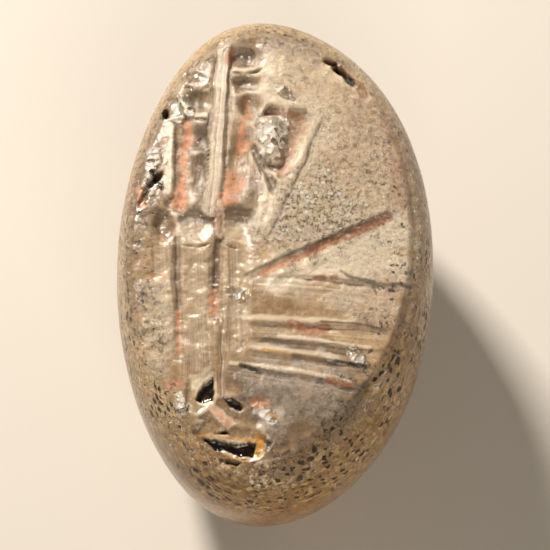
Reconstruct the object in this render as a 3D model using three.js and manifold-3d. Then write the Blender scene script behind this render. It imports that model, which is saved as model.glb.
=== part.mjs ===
// An ancient stamp seal: an oval pebble of cloudy quartz, domed behind and nearly flat in front.
// Two robed figures side by side, a raised arm and a fan of long wing feathers are sunk into its face.
// Units are millimetres. The seal lies on its back with the engraved face up (+Z) and its length along Y,
// the top of the engraved scene towards +Y. The origin is the middle of the small flat that it rests on.

import * as THREE from "three";
import { LoftGeometry } from "three/addons/geometries/LoftGeometry.js";
import { mergeVertices } from "three/addons/utils/BufferGeometryUtils.js";
import Module from "manifold-3d";

// The stone
const SEAL_LENGTH = 26.6;
const SEAL_WIDTH = 16;
const GIRTH_HEIGHT = 8.3; // from the rest up to the widest level
const SHOULDER_HEIGHT = 3.3; // from the girth up to the edge of the face
const REST_LENGTH = 9; // the small flat underneath
const REST_WIDTH = 5.4;
const TOP_OFFSET = 0.9; // the end at the top of the scene leans this much towards -X
const LOWER_OFFSET = 0.5; // and the other end this much

// The sealing face
const FACE_LENGTH = 23.4;
const FACE_WIDTH = 14.25;
const FACE_CROWN = 0.6; // the face swells this much towards its middle
const EDGE_CHAMFER = 0.3; // the worn arris round the face
const FACE_TURN = THREE.MathUtils.degToRad(-1.9); // the scene leans a little clockwise on the stone
const FACE_OFFSET = -0.25; // and stands a little off the middle
const TIP_NARROWING = 0.29; // share of its width that the face loses at its pointed lower end

// The suspension hole, drilled across the dome from both sides
const BORE_DIAMETER = 2.2;
const MOUTH_DIAMETER = 3.4;
const BORE_HEIGHT = 4.7;

// How deep the engraver's cuts and the old damage go
const FIGURE_DEPTH = 0.62;
const BELT_DEPTH = 0.75;
const ARM_DEPTH = 0.72;
const FOLD_DEPTH = 0.42;
const FEATHER_DEPTH = 0.46;
const LINE_DEPTH = 0.26;
const CHIP_DEPTH = 0.5;
const BREAK_DEPTH = 0.75;

// How finely the curves are divided
const RING_POINTS = 72;
const DOME_STEPS = 9;
const SHOULDER_STEPS = 5;
const CROWN_STEPS = 4;
const CUT_SIDES = 12;
const CUT_STEPS = 8;

const GIRTH = { across: SEAL_WIDTH / 2, along: SEAL_LENGTH / 2 };
const REST = { across: REST_WIDTH / 2, along: REST_LENGTH / 2 };
const FACE = { across: FACE_WIDTH / 2, along: FACE_LENGTH / 2 };
const FACE_LEVEL = GIRTH_HEIGHT + SHOULDER_HEIGHT;
const SHOULDER_SWEEP = THREE.MathUtils.degToRad(74);
const UP = new THREE.Vector3(0, 0, 1);

const wasm = await Module();
wasm.setup();

// The oval between two others: share 0 is the first and share 1 the second.
function between(first, second, share) {
  return {
    across: THREE.MathUtils.lerp(first.across, second.across, share),
    along: THREE.MathUtils.lerp(first.along, second.along, share),
  };
}

// One level ring round the stone. faceShare says how far its outline has turned into the face's own:
// 0 at the girth, and 1 at the face, which is turned, shifted and pointed at its lower end.
function ring(oval, height, faceShare) {
  const points = [];
  for (let i = 0; i < RING_POINTS; i++) {
    const angle = (i / RING_POINTS) * 2 * Math.PI;
    const endwise = Math.sin(angle);
    const narrowing = endwise < 0 ? TIP_NARROWING * Math.abs(endwise) ** 3 * faceShare : 0;
    const point = new THREE.Vector3(oval.across * Math.cos(angle) * (1 - narrowing), oval.along * endwise, 0);
    point.applyAxisAngle(UP, FACE_TURN * faceShare);
    const lean = ((endwise > 0 ? TOP_OFFSET : LOWER_OFFSET) * oval.along * endwise ** 4) / GIRTH.along;
    points.push(point.add(new THREE.Vector3(FACE_OFFSET * faceShare - lean, 0, height)));
  }
  return points;
}

// The pebble before it is cut: the dome, the steep shoulder, the worn edge and the swelling face.
function stone() {
  const rings = [];
  for (let i = 0; i <= DOME_STEPS; i++) {
    const turn = (i / DOME_STEPS) * (Math.PI / 2);
    rings.push(ring(between(REST, GIRTH, Math.sin(turn)), GIRTH_HEIGHT * (1 - Math.cos(turn)), 0));
  }
  for (let i = 1; i <= SHOULDER_STEPS; i++) {
    const turn = (i / SHOULDER_STEPS) * SHOULDER_SWEEP;
    const share = (1 - Math.cos(turn)) / (1 - Math.cos(SHOULDER_SWEEP));
    const rise = Math.sin(turn) / Math.sin(SHOULDER_SWEEP);
    const level = GIRTH_HEIGHT + (SHOULDER_HEIGHT - EDGE_CHAMFER) * rise;
    rings.push(ring(between(GIRTH, FACE, share), level, share));
  }
  const inside = { across: FACE.across - EDGE_CHAMFER, along: FACE.along - EDGE_CHAMFER };
  for (let i = 0; i < CROWN_STEPS; i++) {
    const share = 1 - i / CROWN_STEPS;
    const oval = { across: inside.across * share, along: inside.along * share };
    rings.push(ring(oval, FACE_LEVEL + FACE_CROWN * (1 - share ** 2), 1));
  }
  return new LoftGeometry(rings, { capStart: true, capEnd: true });
}

// A point of the face, given in hundredths of its half width and half length from its middle.
function at(across, along) {
  const nearEdge = Math.min(1, Math.hypot(across, along) / 100);
  const point = new THREE.Vector3((FACE.across * across) / 100, (FACE.along * along) / 100, 0);
  point.applyAxisAngle(UP, FACE_TURN);
  return point.add(new THREE.Vector3(FACE_OFFSET, 0, FACE_LEVEL + FACE_CROWN * (1 - nearEdge ** 2)));
}

// A closed mesh as a solid that can be cut and joined.
function solidOf(geometry) {
  const bare = new THREE.BufferGeometry();
  bare.setAttribute("position", geometry.getAttribute("position"));
  bare.setIndex(geometry.index);
  const merged = mergeVertices(bare, 1e-4);
  const corners = merged.index.array;
  const triVerts = [];
  for (let i = 0; i < corners.length; i += 3) {
    const [a, b, c] = corners.subarray(i, i + 3);
    if (a !== b && b !== c && c !== a) triVerts.push(a, b, c);
  }
  const vertProperties = merged.getAttribute("position").array;
  return new wasm.Manifold(new wasm.Mesh({ numProp: 3, vertProperties, triVerts: new Uint32Array(triVerts) }));
}

// A solid as a mesh geometry again, flat-shaded so that the cuts keep their edges.
function geometryOf(solid) {
  const mesh = solid.getMesh();
  const indexed = new THREE.BufferGeometry();
  indexed.setAttribute("position", new THREE.BufferAttribute(mesh.vertProperties, 3));
  indexed.setIndex(new THREE.BufferAttribute(mesh.triVerts, 1));
  const geometry = indexed.toNonIndexed();
  geometry.computeVertexNormals();
  return geometry;
}

// One cut of the engraver's wheel: a boat-shaped hollow along the face. from and to are [across, along]
// places on the face, share is its width in hundredths of the face's, and it ends half a width beyond each.
function boat(from, to, share, depth) {
  const width = (FACE_WIDTH * share) / 100;
  const start = at(...from);
  const end = at(...to);
  const along = new THREE.Vector3().subVectors(end, start);
  const length = along.length() + width;
  along.normalize();
  const side = new THREE.Vector3().crossVectors(along, UP).normalize();
  const outward = new THREE.Vector3().crossVectors(side, along);
  const placed = new THREE.Matrix4().makeBasis(side, along, outward);
  placed.setPosition(start.lerp(end, 0.5));
  placed.scale(new THREE.Vector3(width / 2, length / 2, depth));
  return new THREE.SphereGeometry(1, CUT_SIDES, CUT_STEPS).applyMatrix4(placed);
}

const LINE_SHARE = 2.3; // the width of a fine line

// The left figure, under the rim: a cap, a head, the torso, a belt in two gouges and three skirt folds.
// The heads are plain drilled forms, as on many seals, and have no features.
function leftFigure() {
  return [
    boat([-63, 78], [-57, 78], 8, FIGURE_DEPTH),
    boat([-57, 66], [-55, 61], 7.5, FIGURE_DEPTH),
    boat([-58, 49], [-53, 18], 9.5, FIGURE_DEPTH),
    boat([-69, 50], [-71, 19], 5, FOLD_DEPTH),
    boat([-76, 8], [-75, 5], 8, BELT_DEPTH),
    boat([-60, 7], [-49, 6.5], 13, BELT_DEPTH),
    boat([-76, -8], [-70, -44], 7.5, FOLD_DEPTH),
    boat([-65, -4], [-58, -52], 3.5, FOLD_DEPTH),
    boat([-53, -8], [-46, -56], 10, FOLD_DEPTH),
  ];
}

// The right figure: a tall hat, a head, a beard, the torso, its belt, two skirt folds and a fine line.
function rightFigure() {
  return [
    boat([-34, 85.5], [-21, 86], 9, FIGURE_DEPTH),
    boat([-29, 75], [-18, 75.5], 6, FIGURE_DEPTH),
    boat([-23, 67], [-21, 60], 7, FIGURE_DEPTH),
    boat([-27, 51], [-25, 20], 10, FIGURE_DEPTH),
    boat([-26, 7], [-14, 7], 13, BELT_DEPTH),
    boat([-38, -2], [-36, -31], 5, FOLD_DEPTH),
    boat([-24, -6], [-19, -40], 8, FOLD_DEPTH),
    boat([-31, -29], [-26, -72], LINE_SHARE, LINE_DEPTH),
  ];
}

// The raised arm, bent in a V: the upper arm comes down to the elbow, and the broad forearm goes up.
function raisedArm() {
  const elbow = [4, 18];
  return [
    boat([-18, 41], elbow, 6, ARM_DEPTH),
    boat([-5, 9], [17, 54], 11.5, ARM_DEPTH),
    boat([-3, 54], [0, 36], 10.5, FOLD_DEPTH),
  ];
}

// The wing: long feathers that leave the body one under another and open like a fan.
const FEATHERS = [
  { root: [-14, -16.5], tip: [85, 20], share: 6, depth: FEATHER_DEPTH },
  { root: [-2, -19], tip: [83, -6], share: 10.5, depth: LINE_DEPTH },
  { root: [-6, -28], tip: [82, -25.5], share: 12.5, depth: FEATHER_DEPTH },
  { root: [-8, -41.5], tip: [79, -41], share: 7.5, depth: FEATHER_DEPTH },
  { root: [-4, -50.5], tip: [75, -51], share: 6, depth: FEATHER_DEPTH },
  { root: [-17, -57.5], tip: [58, -60.5], share: 5, depth: FEATHER_DEPTH },
];

function wing() {
  return FEATHERS.map(({ root, tip, share, depth }) => boat(root, tip, share, depth));
}

// Short strokes behind the left figure, one under another.
function backStrokes() {
  const count = 3;
  const top = -18;
  const step = 12;
  const cuts = [];
  for (let i = 0; i < count; i++) {
    const level = top - step * i;
    cuts.push(boat([-71, level + i], [-84 + 3 * i, level - i], LINE_SHARE, LINE_DEPTH));
  }
  return cuts;
}

// Old damage: chips out of the rim, a flaked patch and the larger broken hollow at the pointed end.
// Their sizes are in hundredths of the face's width, and their turns in degrees.
const CHIPS = [
  { place: [-75, 61], size: [8, 12], turn: 20, depth: CHIP_DEPTH },
  { place: [-85, 26], size: [6, 11], turn: -35, depth: CHIP_DEPTH },
  { place: [45, 81], size: [10, 6], turn: -30, depth: CHIP_DEPTH },
  { place: [7, 69], size: [7, 4], turn: -45, depth: LINE_DEPTH },
  { place: [-43, -68], size: [16, 12], turn: 25, depth: CHIP_DEPTH },
  { place: [-19, -77], size: [20, 11], turn: -20, depth: CHIP_DEPTH },
  { place: [-18, -90], size: [25, 13], turn: -8, depth: BREAK_DEPTH },
];

function chip({ place, size, turn, depth }) {
  const [across, along] = size.map((share) => (FACE_WIDTH * share) / 100);
  const placed = new THREE.Matrix4().makeRotationZ(THREE.MathUtils.degToRad(turn));
  placed.setPosition(at(...place));
  placed.scale(new THREE.Vector3(across / 2, along / 2, depth));
  return new THREE.IcosahedronGeometry(1, 1).applyMatrix4(placed);
}

// The hole narrows from each mouth to the middle, as two drillings that meet do.
function bore() {
  const mouth = MOUTH_DIAMETER / 2;
  const profile = [
    new THREE.Vector2(0, -GIRTH.across),
    new THREE.Vector2(mouth, -GIRTH.across),
    new THREE.Vector2(BORE_DIAMETER / 2, 0),
    new THREE.Vector2(mouth, GIRTH.across),
    new THREE.Vector2(0, GIRTH.across),
  ];
  const drilling = new THREE.LatheGeometry(profile, 2 * CUT_SIDES);
  return drilling.rotateZ(Math.PI / 2).translate(0, 0, BORE_HEIGHT);
}

// The whole seal, one stone with its engraving, its hole and its damage cut away.
function seal() {
  const cuts = [bore(), leftFigure(), rightFigure(), raisedArm(), wing(), backStrokes(), CHIPS.map(chip)].flat();
  let solid = solidOf(stone());
  for (const cut of cuts) solid = solid.subtract(solidOf(cut));
  const quartz = new THREE.MeshStandardMaterial({ color: 0xb59a76, roughness: 0.35, metalness: 0 });
  const mesh = new THREE.Mesh(geometryOf(solid), quartz);
  mesh.name = "seal";
  return mesh;
}

const part = new THREE.Group();
part.add(seal());

export default part;
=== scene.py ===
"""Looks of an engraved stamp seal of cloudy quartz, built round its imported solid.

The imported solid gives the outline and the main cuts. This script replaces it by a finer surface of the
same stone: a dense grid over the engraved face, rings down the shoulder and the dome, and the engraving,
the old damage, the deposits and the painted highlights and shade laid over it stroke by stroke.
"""

import logging
import math
from dataclasses import dataclass
from enum import Enum, auto

import bpy
import numpy as np
from mathutils import Matrix, Vector


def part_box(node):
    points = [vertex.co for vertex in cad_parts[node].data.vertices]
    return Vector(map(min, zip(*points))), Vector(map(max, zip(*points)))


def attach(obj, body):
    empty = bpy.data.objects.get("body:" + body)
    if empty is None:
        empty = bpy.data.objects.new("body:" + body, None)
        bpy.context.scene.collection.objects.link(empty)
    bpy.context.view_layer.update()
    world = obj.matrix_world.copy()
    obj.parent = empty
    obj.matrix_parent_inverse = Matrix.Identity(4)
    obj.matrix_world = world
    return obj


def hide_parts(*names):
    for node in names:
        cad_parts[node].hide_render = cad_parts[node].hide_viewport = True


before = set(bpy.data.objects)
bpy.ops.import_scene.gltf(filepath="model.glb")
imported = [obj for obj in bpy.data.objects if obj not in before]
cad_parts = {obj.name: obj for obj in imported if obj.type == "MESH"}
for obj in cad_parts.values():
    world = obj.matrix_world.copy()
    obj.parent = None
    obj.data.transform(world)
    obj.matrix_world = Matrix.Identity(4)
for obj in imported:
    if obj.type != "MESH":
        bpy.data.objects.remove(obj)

logging.basicConfig(level=logging.INFO, format="%(message)s")
log = logging.getLogger("seal")

MM = 0.001  # the script's own unit is the millimetre, and Blender's is the metre

Socket = bpy.types.NodeSocket


# Sizes of the stone


@dataclass(frozen=True)
class Oval:
    """Half sizes of a level outline, in millimetres."""

    across: float
    along: float

    def towards(self, other: "Oval", share: float) -> "Oval":
        """The oval between this one and another.

        Args:
            other: The oval at share 1.
            share: How far to go towards it.

        Returns:
            The oval in between.
        """
        return Oval(
            self.across + (other.across - self.across) * share,
            self.along + (other.along - self.along) * share,
        )


@dataclass(frozen=True)
class StoneSizes:
    """The pebble's driving sizes in millimetres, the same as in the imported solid."""

    girth: Oval
    rest: Oval = Oval(2.7, 4.5)
    face: Oval = Oval(7.125, 11.7)
    girth_height: float = 8.3
    shoulder_height: float = 3.3
    top_offset: float = 0.9
    lower_offset: float = 0.5
    face_crown: float = 0.6
    edge_chamfer: float = 0.3
    face_turn: float = math.radians(-1.9)
    face_offset: float = -0.25
    tip_narrowing: float = 0.29
    shoulder_sweep: float = math.radians(74)
    bore_diameter: float = 2.2
    mouth_diameter: float = 3.4
    bore_height: float = 4.7

    @property
    def face_level(self) -> float:
        """Height of the face's edge above the floor."""
        return self.girth_height + self.shoulder_height

    @classmethod
    def from_box(cls, node: str) -> "StoneSizes":
        """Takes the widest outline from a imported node.

        Args:
            node: The node's name.

        Returns:
            The sizes, with the girth measured on the node.
        """
        low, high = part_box(node)
        return cls(girth=Oval((high[0] - low[0]) / 2 / MM, (high[1] - low[1]) / 2 / MM))


@dataclass(frozen=True)
class Wear:
    """Unevenness left by grinding, burial and handling: swells and heights in millimetres."""

    cut_swell: float = 0.42
    cut_height: float = 0.075
    grit_swell: float = 0.26
    grit_height: float = 0.07
    face_swell: float = 2.6
    face_height: float = 0.035
    rim_swell: float = 1.3
    rim_depth: float = 0.16
    side_swell: float = 5.0
    side_share: float = 0.006  # of the stone's width
    fade: float = 1.1  # how far down the shoulder the face's cuts fade out
    deep: float = 0.7  # a cut this deep counts as fully sunk


@dataclass(frozen=True)
class MeshFineness:
    """How finely the surface is divided."""

    face_columns: int = 176
    face_rows: int = 288
    edge_rings: int = 5
    shoulder_rings: int = 14
    dome_rings: int = 13
    bore_sides: int = 64
    bore_stations: int = 25


# Noise


def smoothstep(low: float, high: float, value: np.ndarray) -> np.ndarray:
    """A smooth rise from 0 at low to 1 at high.

    Args:
        low: Where the rise starts.
        high: Where it ends.
        value: The values to map.

    Returns:
        The mapped values.
    """
    share = np.clip((value - low) / (high - low), 0, 1)
    return share * share * (3 - 2 * share)


class Noise:
    """Smooth repeatable noise in space, from -1 to 1."""

    LATTICE = 32

    def __init__(self, seed: int) -> None:
        self.values = np.random.default_rng(seed).uniform(-1, 1, (self.LATTICE,) * 3)

    def at(self, points: np.ndarray, size: float) -> np.ndarray:
        """The noise at some points.

        Args:
            points: Points as rows, in millimetres.
            size: Size of one swell of the noise, in millimetres.

        Returns:
            One value for each point.
        """
        scaled = points / size + 100.0
        cell = np.floor(scaled).astype(int)
        part = scaled - cell
        part = part * part * (3 - 2 * part)
        total = np.zeros(len(points))
        for corner in range(8):
            offset = np.array([corner & 1, corner >> 1 & 1, corner >> 2 & 1])
            weight = np.prod(np.where(offset == 1, part, 1 - part), axis=1)
            index = (cell + offset) % self.LATTICE
            total += weight * self.values[index[:, 0], index[:, 1], index[:, 2]]
        return total

    def rough(self, points: np.ndarray, size: float, octaves: int = 3) -> np.ndarray:
        """Noise with finer noise laid over it.

        Args:
            points: Points as rows, in millimetres.
            size: Size of the broadest swell.
            octaves: How many layers, each half the size of the one before.

        Returns:
            One value for each point.
        """
        total = np.zeros(len(points))
        for octave in range(octaves):
            total += self.at(points + 7.1 * octave, size / 2**octave) / 2**octave
        return total / 1.75


# The engraving, as the strokes that made it


class Profile(Enum):
    """The section of a stroke, from one side to the other."""

    ROUND = auto()  # a wheel's rounded trough
    FLAT = auto()  # a flat floor between steep walls
    VEE = auto()  # a sharp line
    WEDGE = auto()  # a steep wall on its left, then a floor that climbs back to the face


@dataclass(frozen=True)
class Stroke:
    """One stroke of the wheel. Places are in hundredths of the face's half width and half length."""

    start: tuple[float, float]
    end: tuple[float, float]
    width: float
    depth: float
    profile: Profile = Profile.ROUND
    end_width: float | None = None
    taper: float = 0.5  # how much shallower it is at its ends
    marks: float = 0.0  # how strongly the wheel's scratches show along it
    wall: float = 0.2  # how far across a wedge's steep wall reaches, in millimetres


@dataclass(frozen=True)
class Block:
    """A hollow sunk in one place: a drilled head, a belt gouge, a chip."""

    place: tuple[float, float]
    size: tuple[float, float]  # across and along, in millimetres
    depth: float
    turn: float = 0.0  # degrees
    squareness: float = 2.5
    wall: float = 0.6  # share of its reach taken by its sloping wall
    marks: float = 0.0


@dataclass(frozen=True)
class Flake:
    """A straight-edged flake of the broken end: sunk, coloured or both. Its corners go round it."""

    corners: tuple[tuple[float, float], ...]
    depth: float = 0.0
    channel: str = "dark"
    strength: float = 1.0
    edge: float = 0.07  # how far its edge fades, in millimetres


@dataclass(frozen=True)
class Paint:
    """A band of colour or finish along a line on the face."""

    channel: str
    points: tuple[tuple[float, float], ...]
    width: float
    strength: float = 1.0
    ragged: float = 0.6  # how irregular its edge is, as a share of its width
    soft: float = 0.3  # how gradually it fades, as a share of its width


LEFT_FIGURE = (
    Stroke((-70, 84), (-50, 86), 1.2, 0.3, Profile.WEDGE, taper=0.8, wall=0.5),
    Block((-61, 77), (2.1, 1.3), 0.26, -12, 2.2, 0.9),
    Block((-57, 64), (1.9, 1.9), 0.4, -6, 2.2, 0.8),
    Block((-52.4, 46), (1.5, 1.8), 0.5, -2, 3.2, 0.8, 0.25),
    Block((-53.5, 29), (1.6, 3.6), 0.44, -3, 3.0, 0.9, 0.3),
    Stroke((-64, 54), (-65, 14), 0.9, 0.4, taper=0.2, marks=0.3),
    Stroke((-71, 54), (-72, 14), 0.4, 0.34, taper=0.2),
    Block((-74.5, 4.5), (1.5, 2.3), 0.4, 0, 2.2, 0.7),
    Stroke((-63, 15), (-42.5, 15.5), 2.5, 0.52, Profile.WEDGE, taper=0.4, marks=0.3, wall=0.9),
    Stroke((-77, -6), (-70, -46), 1.3, 0.2, marks=0.3),
    Stroke((-66, -1), (-58, -54), 0.6, 0.4, marks=0.5),
    Stroke((-53, -5), (-45.5, -60), 1.9, 0.24, marks=0.45),
)

RIGHT_FIGURE = (
    Block((-28.5, 86), (2.6, 1.6), 0.46, 3, 2.6, 0.7),
    Stroke((-37, 84), (-15, 86), 0.5, 0.5, taper=0.8),
    Block((-24, 73.5), (2.1, 1.2), 0.44, 0, 2.4, 0.7),
    Block((-19.5, 62.5), (1.5, 1.9), 0.48, 0, 2.2, 0.7),
    Block((-25, 36), (2.0, 5.4), 0.46, 1, 2.6, 0.9, 0.25),
    Stroke((-15, 40), (-11, 16), 1.0, 0.26, end_width=1.5, taper=0.2, marks=0.3),
    Stroke((-30, 16.5), (-10, 17), 2.6, 0.56, Profile.WEDGE, taper=0.4, marks=0.2, wall=0.9),
    Stroke((-37.5, -2), (-35, -36), 0.9, 0.42, marks=0.4),
    Stroke((-31, -30), (-26.5, -70), 0.4, 0.16, marks=0.5),
    Stroke((-24.5, -3), (-18.5, -46), 1.5, 0.22, marks=0.45),
    Stroke((-46, 88), (-47, 14), 0.7, 0.3, taper=0.3, marks=0.8),
    Stroke((-38.4, 88), (-38, 14), 0.6, 0.3, taper=0.3, marks=0.8),
)

RAISED_ARM = (
    Stroke((-17, 43), (3, 22), 0.5, 0.5, taper=0.3, marks=1),
    Stroke((-12, 40), (4, 17), 0.5, 0.4, taper=0.3, marks=1),
    Stroke((-4, 57), (0, 36), 1.9, 0.6, Profile.FLAT, end_width=1.5, taper=0.1, marks=0.3),
    Stroke((14, 56), (6, 30), 1.9, 0.6, end_width=0.9, taper=0.1, marks=0.5),
    Stroke((4, 26), (-9, 4), 0.7, 0.3, taper=0.3, marks=0.6),
    Stroke((32, 58), (0, 1), 0.7, 0.1, taper=0.3, marks=1),
)

WING = (
    Stroke((-14.5, -16.2), (84, 19), 0.8, 0.17, Profile.WEDGE, end_width=3.3, taper=0.4, marks=0.4, wall=0.3),
    Stroke((-8, -14.8), (88, -16.5), 1.6, 0.18, Profile.WEDGE, taper=0.6, marks=0.5),
    Stroke((-17, -37.2), (84, -36.4), 0.9, 0.18, Profile.WEDGE, taper=0.5, marks=0.35),
    Stroke((-12, -43.4), (80, -45.5), 0.9, 0.14, Profile.WEDGE, taper=0.4, marks=0.35),
    Stroke((-10, -49.4), (76, -53), 0.9, 0.19, Profile.WEDGE, taper=0.5, marks=0.4),
    Stroke((-22, -56.9), (64, -61.5), 0.8, 0.16, Profile.WEDGE, taper=0.5, marks=0.4),
)

BACK_STROKES = (
    Stroke((-70, -18), (-83, -18.5), 0.7, 0.2),
    Stroke((-68, -28.5), (-84, -29), 0.6, 0.16),
    Stroke((-68, -41), (-77, -43), 0.6, 0.16),
    Block((-78, -24), (1.4, 0.9), 0.1),
    Block((-77, -36), (1.4, 1.1), 0.12),
    Block((-73, -50), (1.3, 1.2), 0.12),
    Block((-80, -46), (0.9, 0.9), 0.14),
)

# Ridges left standing between the cuts: the tall staff, the post between the belt's gouges and the
# lump that fills the raised hand
RIDGES = (
    Stroke((-42.2, 93), (-43, 13), 0.8, 0.4, end_width=1.1, taper=0.1, marks=1),
    Stroke((-36.5, 15), (-36.5, 1), 0.5, 0.4, taper=0.0),
    Stroke((-5, 55), (-2, 41), 1.3, 0.55, taper=0.2),
    Stroke((-76, 51), (-73, 20), 0.5, 0.3, taper=0.2, marks=0.5),
    Stroke((26, 60), (-8, 1), 0.95, 0.3, taper=0.5, marks=0.8),
)

# Fine lines cut last, beside the staff, in the hats and in the dress
LINES = (
    Stroke((-47.4, 60), (-47.6, 20), 0.24, 0.2, Profile.VEE, taper=0.6),
    Stroke((-37, 89), (-20, 90), 0.3, 0.12, Profile.VEE),
    Stroke((-37, 83), (-28, 82), 0.3, 0.14, Profile.VEE),
    Stroke((-28, 82), (-15, 84.5), 0.3, 0.14, Profile.VEE),
    Stroke((-36, 78.5), (-26, 77.4), 0.36, 0.2, Profile.VEE),
    Stroke((-26, 77.4), (-15, 80.5), 0.36, 0.24, Profile.VEE),
    Stroke((-32, 70), (-24, 68.8), 0.3, 0.2, Profile.VEE),
    Stroke((-24, 68.8), (-15, 71.5), 0.3, 0.24, Profile.VEE),
    Stroke((-68, 71), (-58, 70), 0.3, 0.16, Profile.VEE),
    Stroke((-58, 70), (-49, 72), 0.3, 0.16, Profile.VEE),
    Stroke((-60, 55), (-47, 54.5), 0.3, 0.2, Profile.VEE),
    Stroke((-62, -4), (-52, -5), 0.3, 0.2, Profile.VEE),
    Stroke((-52, -5), (-42, -3), 0.3, 0.2, Profile.VEE),
    Stroke((-31, -4), (-20, -5), 0.3, 0.2, Profile.VEE),
    Stroke((-17, 43), (-9, 30), 0.26, 0.4, Profile.VEE, taper=0.2),
)

DAMAGE = (
    Block((-75, 61), (1.5, 1.6), 0.3, 20, 2),
    Block((-80, 58.5), (0.5, 0.9), 0.7, 10, 2),
    Block((-84, 26), (0.55, 1.4), 0.5, -38, 2),
    Block((-91, 18), (0.5, 1.6), 0.2, -20, 2),
    Block((42, 82), (1.2, 0.5), 0.6, -30, 2),
    Block((35, 86.5), (0.9, 0.5), 0.4, -10, 2),
    Block((49, 78.5), (1.2, 0.5), 0.5, -50, 2),
    Block((58, 73), (1.4, 0.6), 0.2, -50, 2),
    Block((7, 68.5), (1.1, 0.5), 0.14, -50, 2),
    Block((-52, 92), (2.4, 0.6), 0.2, 25, 2),
    Block((12, 96), (3.2, 0.7), 0.16, -10, 2),
    Flake(((-54, -75), (-50, -62), (-34, -60), (-31, -74), (-42, -77)), 0.16, "grey", 0.2, 0.2),
    Flake(((-40, -80), (-30, -72), (4, -71), (14, -78), (-2, -84), (-28, -86)), 0.12, "grey", 0.2, 0.2),
    Flake(((-46, -86), (-34, -80), (-2, -84), (6, -92), (-6, -99), (-30, -96)), 0.18, "grey", 0.2, 0.25),
    Stroke((-15, -57), (-2, -60), 0.24, 0.16, Profile.VEE),
)

FLAKES = (
    # The flakes of the broken end: black ones with painted shade in their hollows, a golden one with painted
    # golden light, paler cream facets and orange deposit
    Flake(((-34, -63), (-31.7, -72.7), (-39, -73.8), (-45.4, -72.6), (-43, -67.8)), 0.4, "dark"),
    Flake(((-48.5, -68.8), (-46.5, -69.6), (-49, -75.5)), 0.3, "dark"),
    Flake(((-52, -70), (-50.5, -70.4), (-53, -75)), 0.3, "dark", 0.9),
    Flake(((-24.5, -71.6), (-20, -71.8), (-11.5, -75.2), (-13, -76.8), (-20, -75)), 0.3, "dark"),
    Flake(((-36.7, -82.4), (-31, -80), (-27, -82), (-21, -83.4), (-13, -81), (-8, -84.4), (-2.2, -87.2),
           (-34.9, -86.5)), 0.4, "dark"),
    Flake(((-36, -88.8), (-2, -90.2), (-3.5, -95.3), (-13, -95.6), (-28.9, -92.7)), 0.46, "dark"),
    Flake(((-27, -96.4), (-8, -98), (-14, -99.4)), 0.3, "dark", 0.9),
    Flake(((4, -88), (9, -89), (7, -93.5)), 0.2, "dark", 0.9),
    Flake(((-50.7, -61.5), (-34.4, -60.3), (-34.8, -62.6), (-42.9, -69), (-48.5, -68.6)), 0.1, "cream", 0.85),
    Flake(((-37, -75), (-31, -73.2), (-22, -78), (-14, -81.5), (-21, -84.6), (-28, -81.5)), 0.1, "cream",
          0.8, 0.1),
    Flake(((-1.5, -86.5), (4.5, -87), (5.5, -92), (1, -95.5), (-1.5, -93)), 0.2, "gold", 0.9, 0.1),
    Flake(((-9, -72), (-4, -70.6), (5, -71.4), (7, -73.6), (-3, -75.6)), 0.05, "deposit", 0.9, 0.12),
    Flake(((-35, -75), (-27, -76), (-17, -81.5), (-21, -84), (-28, -80.5)), 0.05, "deposit", 0.8, 0.12),
    Flake(((5, -75), (14, -73.8), (17, -76.4), (8, -79)), 0.06, "cream", 0.6, 0.12),
)

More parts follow.
